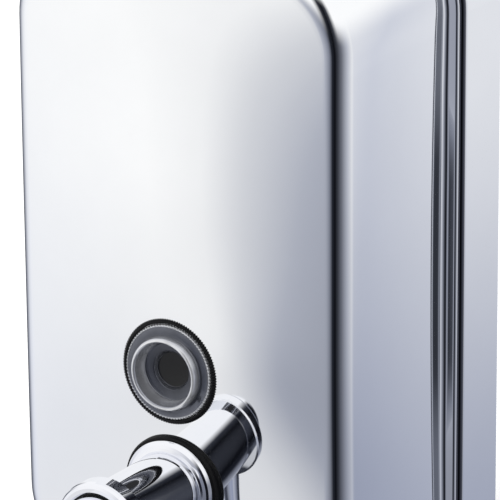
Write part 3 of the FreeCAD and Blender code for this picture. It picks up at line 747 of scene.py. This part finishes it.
# ---------------------------------------------------------------- studio
# What the polished metal mirrors: walls of soft grey with one tall dark screen, which the camera stands in
# front of. Each row is (degrees, grey level, blueness), with degrees from straight ahead of the dispenser (0)
# towards +X (90), and -180 and 180 behind it. The grey changes evenly from one row to the next.
WALL_LOW = (
    (-180, 144, 12), (-150, 58, 10), (-120, 78, 11), (-100, 150, 12), (-85, 208, 12), (-65, 225, 9),
    (-30, 228, 2), (-25, 215, 4), (-15, 160, 13), (5, 122, 12), (18, 36, 8), (31, 14, 5), (44, 54, 8),
    (60, 100, 12), (88, 153, 14), (112, 181, 12), (125, 154, 20), (150, 163, 19), (180, 144, 12),
)
WALL_HIGH = (
    (-180, 174, 10), (-150, 72, 10), (-120, 98, 10), (-100, 178, 10), (-85, 225, 6), (-65, 244, 3),
    (-35, 249, 0), (-28, 239, 1), (-23, 210, 5), (-15, 176, 12), (5, 130, 14), (18, 36, 8), (31, 14, 5),
    (44, 60, 8), (60, 108, 10), (88, 185, 11), (112, 228, 4), (130, 206, 11), (150, 227, 5), (180, 174, 10),
)
SCREEN_TOP = (
    (-180, 251, 1), (8, 251, 1), (22, 52, 8), (31, 17, 5), (42, 62, 8), (58, 251, 1), (180, 251, 1),
)
CEILING = cool_grey(251, 1)
GROUND = cool_grey(54, 8)


def studio_world():
    """White for every ray but those that polished metal mirrors, which see the studio's walls."""
    world = bpy.data.worlds.new("studio")
    scene.world = world
    world.use_nodes = True
    tree = Tree(world.node_tree)
    where = tree.add("ShaderNodeTexCoord").outputs["Generated"]
    axis = tree.add("ShaderNodeSeparateXYZ", Vector=where).outputs
    compass = tree.math("ARCTAN2", axis[0], tree.math("MULTIPLY", axis[1], -1.0))
    around = tree.math("ADD", tree.math("DIVIDE", compass, 2 * math.pi), 0.5)
    height = tree.math("MULTIPLY", tree.math("ARCSINE", axis[2]), 180 / math.pi)

    def wall(rows):
        stops = [((degrees + 180) / 360, cool_grey(grey, blue)) for degrees, grey, blue in rows]
        return tree.ramp(around, stops)

    seen = tree.mix(tree.span(height, -22, -14), wall(WALL_LOW), wall(WALL_HIGH))
    seen = tree.mix(tree.span(height, -2, 26), seen, wall(SCREEN_TOP))
    seen = tree.mix(tree.span(height, 32, 60), seen, linear(CEILING))
    seen = tree.mix(tree.span(height, -58, -32, 1.0, 0.0), seen, linear(GROUND))
    mirrored = tree.add("ShaderNodeBackground", Color=seen, Strength=1.07)
    plain = tree.add("ShaderNodeBackground", Color=(1, 1, 1, 1), Strength=1.25)
    ray = tree.add("ShaderNodeLightPath").outputs["Is Glossy Ray"]
    both = tree.add("ShaderNodeMixShader", Fac=ray)
    tree.tree.links.new(plain.outputs[0], both.inputs[1])
    tree.tree.links.new(mirrored.outputs[0], both.inputs[2])
    out = tree.add("ShaderNodeOutputWorld")
    tree.tree.links.new(both.outputs[0], out.inputs[0])


def floor():
    """Plain pale floor under the object. The metal mirrors the studio and not the floor."""
    half = 6.0
    level = cad_low.z - 0.5 * MM
    mesh = bpy.data.meshes.new("floor")
    corners = [(-half, -half, level), (half, -half, level), (half, half, level), (-half, half, level)]
    mesh.from_pydata(corners, [], [(0, 1, 2, 3)])
    made = bpy.data.objects.new("floor", mesh)
    scene.collection.objects.link(made)
    finish, tree, shader = material("floor_paper")
    tree.put(shader, "Base Color", linear((244, 244, 244)))
    tree.put(shader, "Roughness", 0.9)
    mesh.materials.append(finish)
    made.visible_glossy = False


def soft_light(name, where, size, power):
    lamp = bpy.data.lights.new(name, "AREA")
    lamp.shape = "DISK"
    lamp.size = size
    lamp.energy = power
    made = bpy.data.objects.new(name, lamp)
    scene.collection.objects.link(made)
    made.location = where
    made.rotation_euler = (-Vector(where)).to_track_quat("-Z", "Y").to_euler()
    made.visible_glossy = False
    made.visible_transmission = False


def camera():
    """A long lens to the front right and above, square on to the middle of the front."""
    azimuth = math.radians(31.69)
    rise = math.radians(17.51)
    roll = math.radians(-0.49)
    target = Vector((20.72, -60.0, 11.45)) * MM
    distance = 947.5 * MM
    back = Vector((math.sin(azimuth) * math.cos(rise), -math.cos(azimuth) * math.cos(rise), math.sin(rise)))
    right = Vector((math.cos(azimuth), math.sin(azimuth), 0))
    up = back.cross(right)
    across = right * math.cos(roll) + up * math.sin(roll)
    upward = back.cross(across)
    lens = bpy.data.cameras.new("camera")
    lens.lens = 288
    lens.sensor_width = 36
    lens.clip_start = 0.05
    lens.clip_end = 50
    made = bpy.data.objects.new("camera", lens)
    scene.collection.objects.link(made)
    place = Matrix((across, upward, back)).transposed().to_4x4()
    place.translation = target + back * distance
    made.matrix_world = place
    scene.camera = made


studio_world()
floor()
soft_light("key_light", (-0.8, -1.2, 1.4), 1.2, 14)
camera()
